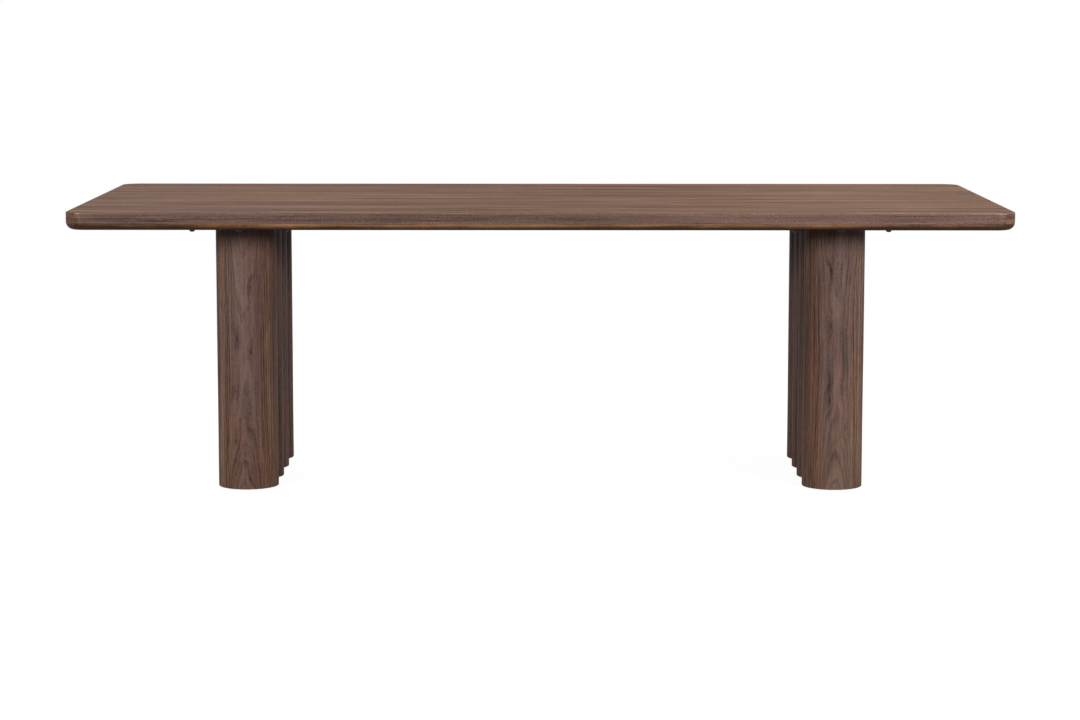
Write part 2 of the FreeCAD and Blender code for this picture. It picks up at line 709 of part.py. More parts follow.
def make_foot_screw(side, sign, index):
    """The screw of a levelling foot: knob, neck, six-sided collar for a spanner, and stem."""
    name = f"{side}_{COLUMN_PLACES[index]}_foot_screw"
    stem_top = f"({COLLAR_TOP} + Sizes.stem_length)"
    body, _ = turned(name, [
        ("0", KNOB_BOTTOM),
        ("Sizes.knob_radius", KNOB_BOTTOM),
        ("Sizes.knob_radius", KNOB_TOP),
        ("Sizes.neck_radius", KNOB_TOP),
        ("Sizes.neck_radius", COLLAR_TOP),
        ("Sizes.bolt_radius", COLLAR_TOP),
        ("Sizes.bolt_radius", f"({stem_top} - Sizes.stem_point_chamfer)"),
        ("(Sizes.bolt_radius - Sizes.stem_point_chamfer)", stem_top),
        ("0", stem_top),
    ])
    collar = hexagon(sketch_on(body, "XY_Plane", f"{name}_collar_outline", COLLAR_BOTTOM),
                     "Sizes.collar_radius")
    pad(body, collar, "Sizes.collar_height", f"{name}_collar")
    place(body, leg_x(sign), column_y(index))
    keep(body)


def make_leg(side, sign):
    make_plate(side, sign)
    make_plate_bolts(side, sign)
    make_washers(side, sign)
    make_block_screws(side, sign)
    make_block_inserts(side, sign)
    make_joint_splines(side, sign)
    for index, column_place in enumerate(COLUMN_PLACES):
        make_column(side, sign, index)
        make_top_block(side, sign, index)
        make_foot_block(side, sign, index)
        if column_place in END_PLACES:
            make_foot_pad(side, sign, index)
            make_foot_screw(side, sign, index)


def check_document():
    """Stops at any object that failed, or any piece without a sound shape."""
    doc.recompute()
    for obj in doc.Objects:
        if "Invalid" in obj.State or "Error" in obj.State:
            raise RuntimeError(f"{obj.Name} failed: {obj.State}")
    for piece in pieces:
        if piece.Shape.isNull() or not piece.Shape.isValid() or not piece.Shape.Solids:
            raise RuntimeError(f"{piece.Label} has no sound shape")


def write_pieces():
    os.makedirs("parts", exist_ok=True)
    whole = FreeCAD.BoundBox()
    for piece in pieces:
        piece.Shape.exportStep(f"parts/{piece.Label}.step")
        whole.add(piece.Shape.optimalBoundingBox())
    print(f"{len(pieces)} pieces, {whole.XLength:.1f} x {whole.YLength:.1f} x {whole.ZLength:.1f} mm")


make_top()
make_tabletop_inserts()
for side_name, side_sign in SIDES:
    make_leg(side_name, side_sign)
make_foot_inserts()
check_document()
write_pieces()
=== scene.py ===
# %% [markdown]
# # A long walnut dining table
#
# The table is a rounded rectangular top on two legs, and each leg is a row of four round columns
# that runs from front to back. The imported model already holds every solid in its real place, so
# this script does what a finisher and a photographer do: it gives each piece its wood, metal or
# plastic, adds the fine parts that the solids leave out, and sets up light and camera.

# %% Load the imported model
import math

import bmesh
import bpy
from mathutils import Matrix, Vector


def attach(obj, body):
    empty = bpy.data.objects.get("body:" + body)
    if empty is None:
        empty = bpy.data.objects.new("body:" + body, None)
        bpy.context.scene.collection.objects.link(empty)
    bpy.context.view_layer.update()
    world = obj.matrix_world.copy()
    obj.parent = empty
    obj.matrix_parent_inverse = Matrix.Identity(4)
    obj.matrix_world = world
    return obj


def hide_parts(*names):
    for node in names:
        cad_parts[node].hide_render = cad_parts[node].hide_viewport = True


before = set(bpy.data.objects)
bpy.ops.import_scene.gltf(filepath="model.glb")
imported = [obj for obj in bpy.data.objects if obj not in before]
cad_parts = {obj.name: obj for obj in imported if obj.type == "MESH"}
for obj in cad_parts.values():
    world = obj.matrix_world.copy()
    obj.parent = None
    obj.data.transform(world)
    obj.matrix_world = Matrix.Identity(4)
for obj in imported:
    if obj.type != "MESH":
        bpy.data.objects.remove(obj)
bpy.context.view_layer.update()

# %% [markdown]
# ## Camera
#
# The photograph is taken from about 7.3 m in front of the table with a long lens, a little above
# the top, so the far edge is nearly as long as the near one. A camera could be placed by eye, but
# these values were found by fitting the outlines of the top and of the columns, which is more
# exact, and they are real distances in metres.

# %% Camera
LENS_MM = 96.998
SENSOR_MM = 36.0
FARTHEST = 200.0
CAMERA_PLACE = (0.00366, -7.8445, 1.3138)
# Angles in radians.
CAMERA_DOWN = 0.1276
CAMERA_LEFT = 0.0006
CAMERA_ROLL = 0.0006

camera_data = bpy.data.cameras.new("camera")
camera_data.lens = LENS_MM
camera_data.sensor_width = SENSOR_MM
camera_data.clip_end = FARTHEST
camera = bpy.data.objects.new("camera", camera_data)
bpy.context.scene.collection.objects.link(camera)
camera.matrix_world = (
    Matrix.Translation(CAMERA_PLACE)
    @ Matrix.Rotation(CAMERA_LEFT, 4, "Z")
    @ Matrix.Rotation(math.pi / 2 - CAMERA_DOWN, 4, "X")
    @ Matrix.Rotation(CAMERA_ROLL, 4, "Z")
)
bpy.context.scene.camera = camera
bpy.context.scene.view_settings.view_transform = "Standard"
print("camera stands at", CAMERA_PLACE, "with a lens of", LENS_MM, "mm")

# %% [markdown]
# ## Writing a finish as sums
#
# Wood, metal and plastic are made of shader nodes. Wired by hand they take pages, so two short
# classes do the wiring. `Value` wraps one socket, and Python's own + - * / on it add Math nodes.
# `Finish` holds one material and has a single method, `node`, that adds any other node: its
# settings go in first, then its sockets get numbers or links.

# %% A socket that does sums
class Value:
    """One socket of a finish; a sum on it adds a Math node."""

    def __init__(self, finish, socket):
        self.finish = finish
        self.socket = socket

    def __add__(self, other):
        return self.finish.maths("ADD", self, other)

    def __sub__(self, other):
        return self.finish.maths("SUBTRACT", self, other)

    def __rsub__(self, other):
        return self.finish.maths("SUBTRACT", other, self)

    def __mul__(self, other):
        return self.finish.maths("MULTIPLY", self, other)

    def __truediv__(self, other):
        return self.finish.maths("DIVIDE", self, other)

    __radd__ = __add__


print("sums on sockets become Math nodes")


# %% A material that adds its own nodes
class Finish:
    """One material, with its main shader ready."""

    def __init__(self, name, **constants):
        self.material = bpy.data.materials.new(name)
        self.material.use_nodes = True
        self.tree = self.material.node_tree
        self.shader = self.tree.nodes["Principled BSDF"]
        for socket, number in constants.items():
            self.shader.inputs[socket.replace("_", " ")].default_value = number
        self.place = self.node("TexCoord", {}, {}, "Object")

    def node(self, kind, settings, inputs, output=0):
        """Adds a node: settings first, then its sockets get numbers or links."""
        made = self.tree.nodes.new("ShaderNode" + kind)
        for name, setting in settings.items():
            if name == "stops":
                self.set_stops(made.color_ramp, setting)
            else:
                setattr(made, name, setting)
        for name, value in inputs.items():
            self.feed(made.inputs[name], value)
        return Value(self, made.outputs[output])

    def feed(self, socket, value):
        """Puts a number, a colour or another node's output into a socket."""
        if isinstance(value, Value):
            self.tree.links.new(value.socket, socket)
        else:
            socket.default_value = value

    def set_stops(self, ramp, stops):
        """Sets a ramp's colours from pairs of position and colour."""
        while len(ramp.elements) < len(stops):
            ramp.elements.new(1.0)
        for element, (position, colour) in zip(ramp.elements, stops):
            element.position = position
            element.color = (*colour, 1.0)

    def maths(self, operation, *values):
        """Adds a Math node that works on those values."""
        return self.node("Math", {"operation": operation}, dict(enumerate(values)))

    def show(self, **sockets):
        """Feeds the main shader's sockets."""
        for name, value in sockets.items():
            self.feed(self.shader.inputs[name.replace("_", " ")], value)


print("shader helpers are ready")

# %% [markdown]
# ## A few words that every finish uses
#
# `split` gives x, y and z of a position. `noise` is cloudy noise from about 0 to 1. `stretched` is
# the same noise over two coordinates, drawn out along one of them, because that is how grain
# looks. `fade` goes smoothly from 0 to 1 while a value goes from one limit to the other. `blend`
# mixes two colours, and `relief` turns a height into a bump.

# %% Short words for common nodes
def split(finish, place):
    """x, y and z of a position, in metres."""
    return [finish.node("SeparateXYZ", {}, {0: place}, axis) for axis in range(3)]


def spot(finish, x, y, z=0.0):
    """A position put together from three values."""
    return finish.node("CombineXYZ", {}, {0: x, 1: y, 2: z})


def noise(finish, place, detail, rough=0.5):
    """Cloudy noise from about 0 to 1, with clouds about one unit across."""
    sockets = {"Vector": place, "Scale": 1.0, "Detail": detail, "Roughness": rough}
    return finish.node("TexNoise", {}, sockets)


def stretched(finish, first, second, scale, seed, detail, rough=0.5):
    """Noise over two coordinates; scale says how many clouds fill a metre of each."""
    place = spot(finish, first * scale[0], second * scale[1], seed)
    return noise(finish, place, detail, rough)


def fade(finish, value, low, high):
    """0 below low, 1 above high and smooth between."""
    settings = {"interpolation_type": "SMOOTHSTEP"}
    sockets = {"Value": value, "From Min": low, "From Max": high}
    return finish.node("MapRange", settings, sockets)


def ramp(finish, value, stops):
    """A colour for each value, from pairs of position and colour."""
    return finish.node("ValToRGB", {"stops": stops}, {0: value})


def blend(finish, share, first, second, how="MIX"):
    """Mixes two colours; share 0 gives the first."""
    settings = {"data_type": "RGBA", "blend_type": how}
    colours = [c if isinstance(c, Value) else (*c, 1.0) for c in (first, second)]
    sockets = {0: share, 6: colours[0], 7: colours[1]}
    return finish.node("Mix", settings, sockets, 2)


def relief(finish, height, depth):
    """Turns a height from 0 to 1 into a bump that is depth metres high."""
    return finish.node("Bump", {}, {"Height": height, "Distance": depth}, "Normal")


print("short words are ready")

# %% [markdown]
# ## Walnut
#
# Walnut is a brown wood with three scales of pattern. Broad bands of lighter and darker brown
# come from good and bad years, thin dark lines mark the end of each year, and fine dark dashes
# are open pores. All three follow the year rings, so the wood is drawn in two coordinates: how
# far a point lies from the heart of the log, and how far it is along the trunk. Where a leaf is
# cut near the middle of the log, rings run out of it and draw pointed arches; where it is cut
# towards the side, the rings are straight lines. One function then serves every wooden piece,
# and only the two coordinates differ. A photograph of wood would look right from one distance
# only, while this stays sharp close by.

# %% Walnut from ring distance and length
COOL_TONES = [
    (0.00, (0.024, 0.014, 0.012)),
    (0.30, (0.078, 0.046, 0.039)),
    (0.52, (0.145, 0.088, 0.073)),
    (0.75, (0.205, 0.128, 0.104)),
    (1.00, (0.290, 0.185, 0.148)),
]
WARM_TONES = [
    (0.00, (0.024, 0.012, 0.008)),
    (0.30, (0.080, 0.042, 0.028)),
    (0.52, (0.155, 0.081, 0.053)),
    (0.75, (0.225, 0.127, 0.080)),
    (1.00, (0.330, 0.200, 0.122)),
]
# Clouds in a metre across the rings and in a metre along the trunk.
BANDS = (34.0, 1.1)
STREAKS = (230.0, 2.8)
FIBRES = (360.0, 6.0)
HAIRS = (1300.0, 16.0)
FLECKS = (520.0, 60.0)
DASHES = (2300.0, 70.0)
# Shares of a year: where the wood begins to darken, and where it is darkest.
LATE_WOOD = 0.35
YEAR_END = 0.94


def walnut(
    finish, ring, across, along, lightness,
    year=0.0045, contrast=1.0, grain=1.0, lines=0.26, seed=0.0,
):
    """The tone of walnut, from 0 dark to 1 light, and its open pores."""
    bands = stretched(finish, ring, along, BANDS, seed, 3.0, 0.6) - 0.5
    streaks = stretched(finish, ring, along, STREAKS, seed + 7.0, 4.0, 0.65) - 0.5
    fibres = stretched(finish, across, along, FIBRES, seed + 1.0, 3.0, 0.6) - 0.5
    hairs = stretched(finish, across, along, HAIRS, seed + 3.0, 2.0, 0.6) - 0.5
    flecks = stretched(finish, across, along, FLECKS, seed + 5.0, 2.0) - 0.5
    pores = fade(finish, stretched(finish, across, along, DASHES, seed, 1.0), 0.60, 0.72)
    count = ring / year + bands * 2.0
    within = finish.maths("FRACT", count)
    number = {"W": finish.maths("FLOOR", count)}
    vigour = finish.node("TexWhiteNoise", {"noise_dimensions": "1D"}, number)
    darkening = fade(finish, within, LATE_WOOD, YEAR_END)
    line = darkening * (1.0 - fade(finish, within, YEAR_END, 1.0)) * vigour
    broad = bands * 0.80 + streaks * 0.65 - line * lines
    fine = fibres * 0.55 + hairs * 0.36 + flecks * 0.34 - pores * 0.10
    return broad * contrast + fine * grain + lightness, pores


print("walnut has", len(WARM_TONES), "tones of two kinds")


# %% Lacquer over the walnut
SATIN = {"Specular_IOR_Level": 0.0, "Coat_Weight": 0.08, "Coat_Roughness": 0.26}
WOOD_ROUGHNESS = 0.62
PORE_ROUGHNESS = 0.15
GRAIN_DEPTH = 0.00005
RUDDY = (1.07, 0.97, 0.90)
SMOKY = (0.93, 1.02, 1.09)


def brown(finish, tone, warmth):
    """The brown of a tone; a warmth of 0 is cool and 1 is warm."""
    return blend(finish, warmth, ramp(finish, tone, COOL_TONES), ramp(finish, tone, WARM_TONES))


def polish(finish, colour, tone, pores):
    """Shows a colour of wood, with the pores as fine dull dents."""
    finish.show(
        Base_Color=colour,
        Roughness=WOOD_ROUGHNESS + pores * PORE_ROUGHNESS,
        Normal=relief(finish, tone * 0.3 - pores * 0.7, GRAIN_DEPTH),
    )


def lacquer(finish, tone, pores, warmth, tint, red=RUDDY):
    """Lacquered walnut; a tint of 0 is reddish and 1 is smoky."""
    colour = brown(finish, tone, warmth)
    tinted = blend(finish, 1.0, colour, blend(finish, tint, red, SMOKY), "MULTIPLY")
    polish(finish, tinted, tone, pores)


print("lacquered wood has a roughness of", WOOD_ROUGHNESS)

# %% [markdown]
# ## The face of the top
#
# The face veneer runs the length of the table in nearly straight lines, so the ring distance is
# simply how far back a point lies, bent a little by slow noise so that no line is ruled. It could
# be drawn as planks side by side, but the photograph shows no joints. The top is drawn lighter
# and greyer towards both ends, and lighter and warmer again to the right. A narrow strip along
# the long edges is lighter, a painted highlight where the arris catches light.

# %% Face veneer
FACE_YEAR = 0.0060
# Where something begins and where it is full, in metres from the middle of the top.
FACE_ENDS = (0.30, 1.05)
FACE_RIGHT = (0.10, 1.05)
FACE_ARRIS = (0.5462, 0.5485)

face_walnut = Finish("face_walnut", **SATIN)
x, y, _ = split(face_walnut, face_walnut.place)
wander = stretched(face_walnut, x, y, (0.9, 2.2), 4.0, 2.0) - 0.5
ring = y + wander * 0.06
leaf = {"lightness": 0.61, "year": FACE_YEAR, "contrast": 1.6, "grain": 1.5}
tone, pores = walnut(face_walnut, ring, ring, x, **leaf)
broad = stretched(face_walnut, x, ring, (0.9, 9.0), 2.0, 2.0) - 0.5
ends = fade(face_walnut, face_walnut.maths("ABSOLUTE", x), *FACE_ENDS)
right = fade(face_walnut, x, *FACE_RIGHT)
lighter = ends * 0.08 + right * 0.08 - 0.03
off_middle = face_walnut.maths("ABSOLUTE", y)
# Painted highlight along the arris of the long edges.
arris = fade(face_walnut, off_middle, *FACE_ARRIS) * (right * 0.10 + 0.05)
warmth = 0.90 - ends * 0.30 + right * 0.40 + broad * (right * 3.0 + 2.0)
tint = stretched(face_walnut, x, ring, (1.3, 60.0), 6.0, 3.0) * 3.2 - 1.1
lacquer(face_walnut, tone + broad * 0.35 + lighter + arris, pores, warmth, tint)


def finish_nodes(finish, names):
    """Puts a finish on CAD nodes, whose shapes stay as they are."""
    for name in names:
        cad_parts[name].data.materials.clear()
        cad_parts[name].data.materials.append(finish.material)
    print(finish.material.name, "is on", len(names), "nodes")


finish_nodes(face_walnut, ["tabletop_face_veneer"])

# %% [markdown]
# ## The edges of the top
#
# Solid strips are glued round the core and shaped to a fine round above and a large one below.
# The strips are cut across the border of two growth zones: the upper part is a cool brown with a
# dark streak that sways along it, and the lower round shows a golden streak with a border that
# wavers. Where a corner turns, the rings are cut across, so the wood is browner and more banded.
# The photograph shows a glint on the upper arris of each corner, so the lacquer is glossier there.
# One finish for the whole edge would be simpler, but grain that runs round a corner looks printed.

# %% Edge strips
SILKY = {"Specular_IOR_Level": 0.0, "Coat_Roughness": 0.28}
GOLDEN_TONES = [
    (0.00, (0.034, 0.014, 0.007)),
    (0.30, (0.110, 0.046, 0.020)),
    (0.60, (0.260, 0.124, 0.052)),
    (1.00, (0.440, 0.240, 0.108)),
]
EDGE_YEAR = 0.0040
# Heights over the floor.
GOLDEN_SHADE = (0.706, 0.7200)
GOLDEN_TOP = 0.7215
STREAK_HEIGHT = 0.7325
EDGE_LOW = (0.722, 0.738)
EDGE_ARRIS = (0.7462, 0.7472)
# Distances from the middle of the table towards its ends.
GOLDEN_FADED = (0.62, 1.10)
TURNING = (1.157, 1.167)
CORNER_START = (1.12, 1.15)
CORNER_STOP = (1.186, 1.197)
# Places from left to right.
LEFT_PART = (-1.00, -0.55)
RISING = (-1.0, -0.2)
DROPPING = (0.2, 0.9)
ARRIS_HIGHLIGHT = (0.1, 0.9)


def edge_finish(name, lengthwise, seed):
    """An edge strip whose grain runs along x, or along y for the ends."""
    finish = Finish(name, **SILKY)
    x, y, z = split(finish, finish.place)
    along, inward = (x, y) if lengthwise else (y, x)
    reached = finish.maths("ABSOLUTE", x)
    left = 1.0 - fade(finish, x, *LEFT_PART)
    turned = fade(finish, reached, *TURNING)
    arris = fade(finish, z, *EDGE_ARRIS)

    # The rings, and how light the edge is drawn along its length.
    wander = stretched(finish, along, z, (2.0, 20.0), seed, 3.0) - 0.5
    ring = z * 0.8 + inward * 0.12 + wander * 0.012
    rise, drop = fade(finish, x, *RISING) * 0.06, fade(finish, x, *DROPPING) * 0.03
    strip = {"lightness": rise - drop - turned * 0.04 + 0.58, "contrast": turned * 0.7 + 1.0}
    tone, pores = walnut(finish, ring, z, along, year=EDGE_YEAR, seed=seed, **strip)

    # A painted highlight on the arris, a lighter lower part, and the dark streak between them.
    sway = noise(finish, spot(finish, along * 9.0, seed), 2.0) - 0.5
    off_streak = finish.maths("ABSOLUTE", z + sway * 0.018 - STREAK_HEIGHT)
    streak = 1.0 - fade(finish, off_streak, 0.001, 0.006)
    low = 1.0 - fade(finish, z, *EDGE_LOW)
    tone = tone + arris * fade(finish, x, *ARRIS_HIGHLIGHT) * 0.12 + low * 0.07
    tone = tone - streak * (left * 0.12 + 0.05)
    flecks = stretched(finish, along, z, (220.0, 340.0), seed, 2.0) - 0.5
    flecks = flecks * (1.0 - turned * 0.6) * (1.0 - left * 0.4)
    upper = brown(finish, tone + flecks * 0.85, turned * 0.8 + 0.2)

    # The golden zone in the lower round, darkened towards the underside as painted shade.
    clouds = stretched(finish, along, z, (9.0, 40.0), seed + 5.0, 4.0, 0.6) - 0.5
    faded = fade(finish, reached, *GOLDEN_FADED) * 0.30
    # Painted shade: the round is drawn darker towards the underside.
    height = fade(finish, z, *GOLDEN_SHADE) * 0.72
    glow = tone + flecks * 0.25 + clouds * 1.0 + height - faded - 0.735
    golden = ramp(finish, glow, GOLDEN_TONES)
    waver = noise(finish, spot(finish, along * 6.0, seed), 3.0) - 0.5
    below = 1.0 - fade(finish, z + waver * 0.007, GOLDEN_TOP - 0.001, GOLDEN_TOP + 0.001)

    polish(finish, blend(finish, below, upper, golden), tone, pores)
    corner = fade(finish, reached, *CORNER_START) * (1.0 - fade(finish, reached, *CORNER_STOP))
    finish.show(Coat_Weight=arris * corner * 0.70 + 0.20)
    return finish


long_edges = ["front_edge_lipping", "rear_edge_lipping"]
finish_nodes(edge_finish("long_edge_walnut", True, 2.0), long_edges)
for side, seed in (("left", 9.0), ("right", 14.0)):
    finish_nodes(edge_finish(f"{side}_end_walnut", False, seed), [f"{side}_end_lipping"])

# %% [markdown]
# ## The columns
#
# Each column wears leaves cut near the middle of a log. Their middle faces the front, where the
# rings run out as arches, and their straight edges meet at the sides, with a pale strip beside
# the seam. Round a column the leaf's width is the angle times the radius. How deep the leaf lies
# in the log changes up the column, and that draws the arches: pointing up in the lower half and
# down in the upper half. Swirls with a pin knot bend them here and there. Each column is drawn
# redder on the side that faces the middle of the table, warmer towards the floor, and lighter
# there as painted light; the outer side of the left front column is darkened as painted shade.
# Straight grain would be simpler, but the photograph shows arches. The two front columns have
# leaves of their own, and the six behind them share one recipe that is drawn darker as painted
# shade.

# %% Swirls and pin knots
CELLS = (24.0, 7.0)


def curls(finish, width, z, seed):
    """Small swirls and pin knots in the middle of a leaf, where twigs once grew."""
    settings = {"voronoi_dimensions": "2D"}
    place = spot(finish, width * CELLS[0] + seed, z * CELLS[1] + seed)
    sockets = {"Vector": place, "Scale": 1.0}
    off = finish.node("TexVoronoi", settings, sockets)
    cell = finish.node("TexVoronoi", settings, sockets, "Color")
    chance = finish.node("SeparateColor", {}, {0: cell})
    central = 1.0 - fade(finish, finish.maths("ABSOLUTE", width), 0.015, 0.055)
    grown = fade(finish, chance, 0.35, 0.90) * central
    swirl = (1.0 - fade(finish, off, 0.0, 0.45)) * grown
    knot = (1.0 - fade(finish, off, 0.01, 0.08)) * grown
    return swirl, knot


print("one swirl at most in each", [round(100.0 / cells, 1) for cells in CELLS], "cm")

# %% Column walnut
SIDES = {"left": -0.772, "right": 0.772}
PLACES = {"front": -0.234, "front_middle": -0.078, "rear_middle": 0.078, "rear": 0.234}
COLUMN_RADIUS = 0.079
ARCH_HEIGHT = 0.36
LEAF_DEPTH = 0.056
LEAF_YEAR = 0.0052
FLOOR_LIGHT_SPAN = (0.08, 0.36)
# Places across a leaf, in metres from its middle.
STRAIGHT_GRAIN = (0.020, 0.060)
INNER_SIDE = (-0.02, 0.06)
SEAM = 0.0745
SEAM_BLUR = 0.0004
RUSTY = (1.08, 0.955, 0.945)


def column_finish(name, centre_x, centre_y, seed, lightness, outer_shade, blush, coat):
    """Walnut leaves wrapped round the column that stands at centre_x, centre_y.

    outer_shade darkens the side away from the table's middle as painted shade, blush reddens the
    other side, and coat is how strongly the lacquer shines.
    """
    finish = Finish(name, **{**SATIN, "Coat_Weight": coat})
    x, y, z = split(finish, finish.place)
    aside, back = x - centre_x, y - centre_y
    reach = finish.maths("SQRT", aside * aside + back * back)
    width = finish.maths("ARCSINE", aside / reach) * COLUMN_RADIUS
    reached = finish.maths("ABSOLUTE", width)
    edge = fade(finish, reached, *STRAIGHT_GRAIN)
    inside = fade(finish, width * (-1.0 if centre_x > 0.0 else 1.0), *INNER_SIDE)
    seam = fade(finish, reached, SEAM - SEAM_BLUR, SEAM + SEAM_BLUR)
    pale = fade(finish, reached, SEAM - 0.007, SEAM - 0.003) * (1.0 - seam)
    low = 1.0 - fade(finish, z, *FLOOR_LIGHT_SPAN)

    # The arches: how far each point lies from the heart of the log.
    slow = stretched(finish, width, z, (5.0, 1.9), back * 3.0 + seed, 2.0) - 0.5
    quick = stretched(finish, width, z, (20.0, 5.0), seed + 2.0, 2.0) - 0.5
    twitch = stretched(finish, width, z, (90.0, 20.0), seed + 4.0, 2.0) - 0.5
    swirl, knot = curls(finish, width + twitch * 0.010, z + twitch * 0.02, seed)
    middle = z - ARCH_HEIGHT
    depth = LEAF_DEPTH - middle * middle * 0.15 + slow * 0.022 + quick * 0.006 + swirl * 0.006
    ring = finish.maths("SQRT", width * width + depth * depth) + twitch * 0.0007
    leaf = {"year": LEAF_YEAR, "grain": edge * 1.1 + 0.95, "lines": edge * 0.10 + 0.24}
    tone, pores = walnut(finish, ring, width, z * 0.55, lightness, seed=seed, **leaf)

    # What the leaf's place on the column and the knots add to its tone and colour.
    mottle = stretched(finish, width, z, (330.0, 170.0), seed + 8.0, 2.0) - 0.5
    smoke = fade(finish, stretched(finish, width, z, (34.0, 4.5), seed + 9.0, 3.0), 0.46, 0.72)
    # The side away from the table's middle is darkened here as painted shade.
    tone = tone + mottle * (1.0 - edge * 0.4) * 0.42 - edge * (1.0 - inside) * outer_shade
    # Painted light: the part near the floor is drawn lighter, and warmer as well.
    tone = tone + low * 0.06 - 0.01 - smoke * (1.0 - edge) * 0.14
    tone = tone - swirl * 0.12 - knot * 0.22 + pale * 0.12 - seam * 0.08
    tint = stretched(finish, width, z, (60.0, 2.6), seed + 6.0, 3.0) * 2.2 - 0.5
    tint = tint + smoke * 0.25 - inside * inside * blush
    warmth = edge * 0.50 + 0.10 + pale * 0.4 - seam * 0.2 + low * 0.3
    lacquer(finish, tone, pores, warmth, tint, RUSTY)
    return finish


FRONT_LEAVES = {
    "left": {"seed": 31.4, "lightness": 0.645, "outer_shade": 0.06, "blush": 0.45, "coat": 0.08},
    "right": {"seed": 47.2, "lightness": 0.69, "outer_shade": 0.0, "blush": 0.45, "coat": 0.08},
}
# The rear columns are drawn darker than the front ones, as painted shade.
SHADED_REAR_LEAF = {"lightness": 0.53, "outer_shade": 0.0, "blush": 0.35, "coat": 0.108}
REAR_SEEDS = {"left": 0.0, "right": 5.0}
SEED_STEP = 11.0
for side, centre_x in SIDES.items():
    for order, (place, centre_y) in enumerate(PLACES.items()):
        leaf = {"seed": SEED_STEP * order + REAR_SEEDS[side], **SHADED_REAR_LEAF}
        if place == "front":
            leaf = FRONT_LEAVES[side]
        node = f"{side}_{place}_column"
        finish_nodes(column_finish(f"{node}_walnut", centre_x, centre_y, **leaf), [node])

# %% [markdown]
# ## Woods that are seen only from below
#
# Under the top lies a plain backing veneer, which keeps the panel from bending. The panel itself
# is chipboard, and the round blocks in the columns and the splines between them are birch
# plywood, whose thin layers show as stripes on every cut edge. The splines stand upright, so
# their layers lie side by side.

# %% Backing veneer
backing_walnut = Finish("backing_walnut", **SATIN)
x, y, _ = split(backing_walnut, backing_walnut.place)
wander = stretched(backing_walnut, x, y, (0.7, 1.5), 8.0, 2.0) - 0.5
ring = y + wander * 0.10
leaf = {"lightness": 0.50, "contrast": 1.2, "grain": 1.3, "seed": 21.0}
tone, pores = walnut(backing_walnut, ring, ring, x, **leaf)
tint = stretched(backing_walnut, x, ring, (1.1, 40.0), 3.0, 3.0) * 2.0 - 0.5
lacquer(backing_walnut, tone, pores, 0.55, tint)
finish_nodes(backing_walnut, ["tabletop_underside_veneer"])

# %% Chipboard
CHIPS = (260.0, 330.0, 600.0)
DUST = 1500.0
CHIP_TONES = [
    (0.00, (0.170, 0.092, 0.040)),
    (0.45, (0.420, 0.275, 0.145)),
    (1.00, (0.640, 0.480, 0.290)),
]

chipboard = Finish("chipboard", Roughness=0.85)
x, y, z = split(chipboard, chipboard.place)
place = spot(chipboard, x * CHIPS[0], y * CHIPS[1], z * CHIPS[2])
chips = chipboard.node("TexVoronoi", {}, {"Vector": place, "Scale": 1.0}, "Color")
chip_tone = chipboard.node("SeparateColor", {}, {0: chips})
dust = noise(chipboard, spot(chipboard, x * DUST, y * DUST, z * DUST), 2.0)
chipboard.show(
    Base_Color=ramp(chipboard, chip_tone * 0.8 + dust * 0.3, CHIP_TONES),
    Normal=relief(chipboard, chip_tone + dust, 0.0002),
)
finish_nodes(chipboard, ["tabletop_core"])

# %% Birch plywood
PLY_THICKNESS = 0.0014
PLY_ALONG = (9.0, 420.0)
PLY_ACROSS = (420.0, 9.0)
BIRCH_TONES = [
    (0.00, (0.290, 0.165, 0.085)),
    (0.50, (0.560, 0.390, 0.235)),
    (1.00, (0.700, 0.540, 0.360)),
]


def plywood_finish(name, standing):
    """Birch plywood that lies flat, or stands with its layers side by side along x."""
    finish = Finish(name, Roughness=0.7)
    x, y, z = split(finish, finish.place)
    through, first, second = (x, y, z) if standing else (z, x, y)
    layer = finish.maths("FLOOR", through / PLY_THICKNESS)
    crossed = finish.maths("PINGPONG", layer, 1.0)
    along = stretched(finish, first, second, PLY_ALONG, layer, 3.0, 0.6)
    across = stretched(finish, first, second, PLY_ACROSS, layer, 3.0, 0.6)
    grain = along * crossed + across * (1.0 - crossed)
    glue = fade(finish, finish.maths("FRACT", through / PLY_THICKNESS), 0.86, 0.94)
    tone = grain * 0.9 + crossed * 0.25 - glue * 0.35 - 0.08
    finish.show(Base_Color=ramp(finish, tone, BIRCH_TONES), Normal=relief(finish, grain, 0.0001))
    return finish


ENDS = ("top", "foot")
blocks = [f"{side}_{place}_{end}_block" for side in SIDES for place in PLACES for end in ENDS]
finish_nodes(plywood_finish("block_plywood", False), blocks)
finish_nodes(plywood_finish("spline_plywood", True), [f"{side}_joint_splines" for side in SIDES])

# %% [markdown]
# ## Metal and plastic finishes
#
# Powder coat is a baked paint: its surface has a fine orange peel of bumps less than a millimetre
# wide. Black oxide is a thin dark skin on steel, a little uneven and worn lighter where a spanner
# touches. Zinc plating is bright and slightly clouded, with fine marks from the tumbling drum.
# The plastic of the feet comes from a lightly etched mould. All four are clouds between two
# colours with fine bumps, so one function makes them and only its numbers differ.

# %% Powder coat, black oxide, zinc and moulded plastic
CLOUDS = 60.0


def speckled(name, colours, fine, rough, depth, **constants):
    """A finish that clouds softly between two colours, with fine bumps."""
    finish = Finish(name, **constants)
    x, y, z = split(finish, finish.place)
    clouds = noise(finish, spot(finish, x * CLOUDS, y * CLOUDS, z * CLOUDS), 3.0)
    bumps = noise(finish, spot(finish, x * fine, y * fine, z * fine), 2.0)
    share = fade(finish, clouds * 0.7 + bumps * 0.3, 0.35, 0.65)
    finish.show(
        Base_Color=blend(finish, share, *colours),
        Roughness=bumps * 0.12 + rough,
        Normal=relief(finish, bumps, depth),
    )
    return finish


